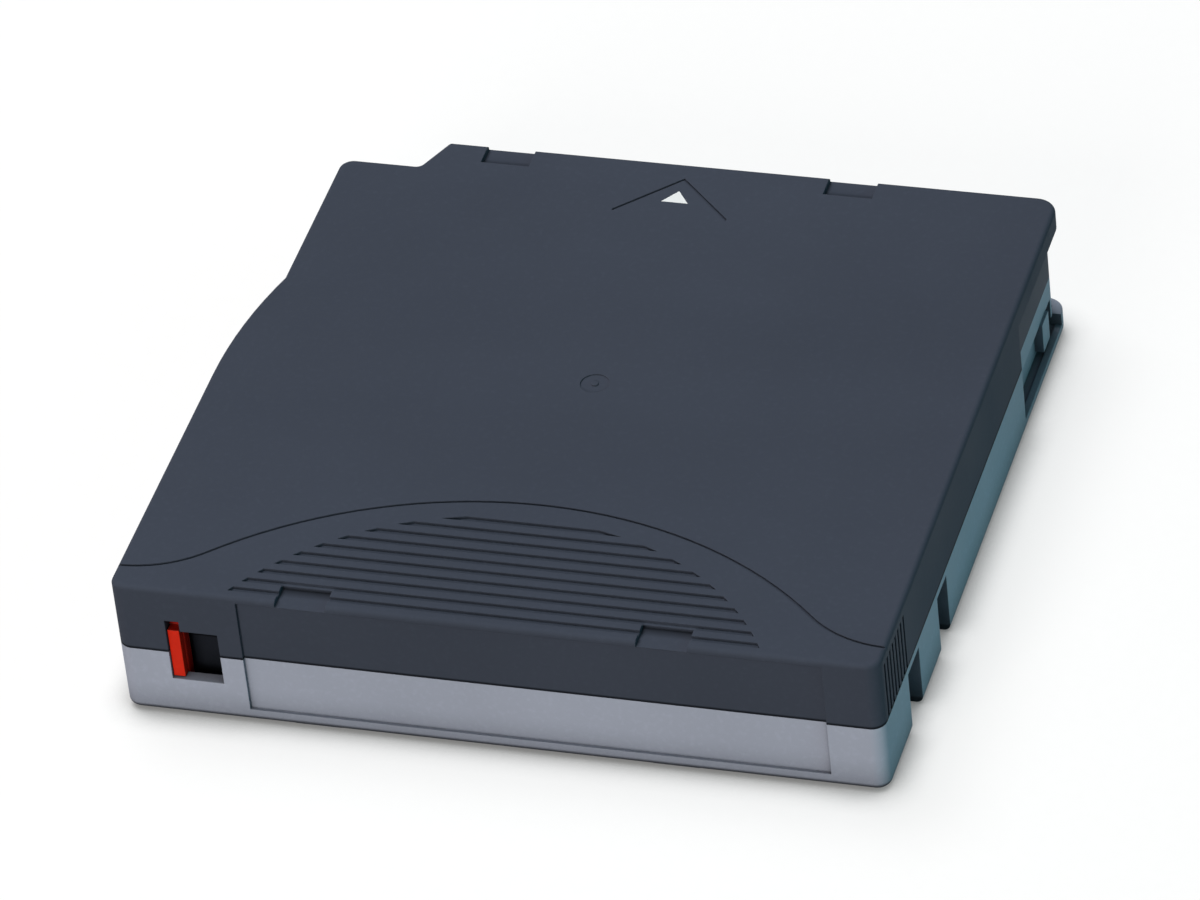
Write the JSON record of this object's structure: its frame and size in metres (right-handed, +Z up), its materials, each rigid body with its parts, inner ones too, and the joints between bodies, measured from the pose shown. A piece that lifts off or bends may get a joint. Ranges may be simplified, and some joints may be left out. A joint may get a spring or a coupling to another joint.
{
  "type": "data tape cartridge",
  "caption": "Flat half-inch data tape cartridge: two-tone two-part housing, sliding leader door, braked single reel, leader pin and write-protect tab.",
  "frame": {"origin": "on the resting surface, under the middle of the cartridge's outline", "axes": "+Z up, +Y the way the cartridge goes into a drive, +X the door side; the label face looks to -Y"},
  "size_m": [0.1054, 0.102, 0.0215],
  "materials": {
    "upper_plastic": "fine matt grain",
    "lower_plastic": "fine matt grain",
    "screw_steel": "zinc plated",
    "pin_steel": "ground steel",
    "clip_plastic": "smooth",
    "tape_film": "polished film",
    "spring_steel": "rolled strip",
    "board_green": "solder mask",
    "chip_black": "moulded epoxy",
    "door_plastic": "fine matt grain",
    "tab_red": "smooth",
    "reel_plastic": "glass-filled",
    "tape_edge": "wound film edges",
    "plate_steel": "stamped",
    "brake_plastic": "smooth acetal",
    "pad_plastic": "smooth acetal"
  },
  "bodies": {
    "housing": {"upper_shell": "upper_plastic", "lower_shell": "lower_plastic", "corner_screws": "screw_steel", "leader_pin": "pin_steel", "leader_clip": "clip_plastic", "tape_leader": "tape_film", "pin_spring": "spring_steel", "memory_board": "board_green", "memory_chip": "chip_black", "door_spring": "spring_steel", "brake_spring": "spring_steel"},
    "reel": {"reel_hub": "reel_plastic", "upper_flange": "reel_plastic", "tape_pack": "tape_edge", "clutch_plate": "plate_steel"},
    "brake": {"brake_button": "brake_plastic"},
    "release": {"release_pad": "pad_plastic"},
    "door": {"door": "door_plastic"},
    "write_protect": {"write_protect_tab": "tab_red"}
  },
  "joints": [
    {"name": "reel_spin", "type": "hinge", "parent": "housing", "child": "reel", "pos_m": [0, 0.001, 0], "axis": [0, 0, 1], "continuous": true},
    {"name": "brake_lift", "type": "slide", "parent": "housing", "child": "brake", "axis": [0, 0, 1], "range_m": [-0.00085, 0.0008], "stiffness_N_per_m": 300, "springref_m": -0.012, "deforming": ["brake_spring"]},
    {"name": "pad_lift", "type": "slide", "parent": "reel", "child": "release", "axis": [0, 0, 1], "range_m": [-0.00085, 0.0008]},
    {"name": "door_slide", "type": "slide", "parent": "housing", "child": "door", "axis": [0, -1, 0], "range_m": [0, 0.018], "stiffness_N_per_m": 12, "springref_m": -0.02, "deforming": ["door_spring"]},
    {"name": "write_protect_slide", "type": "slide", "parent": "housing", "child": "write_protect", "axis": [1, 0, 0], "range_m": [0, 0.0052]}
  ],
  "couplings": [
    {"joint": "pad_lift", "follows": "brake_lift", "ratio": 1}
  ]
}
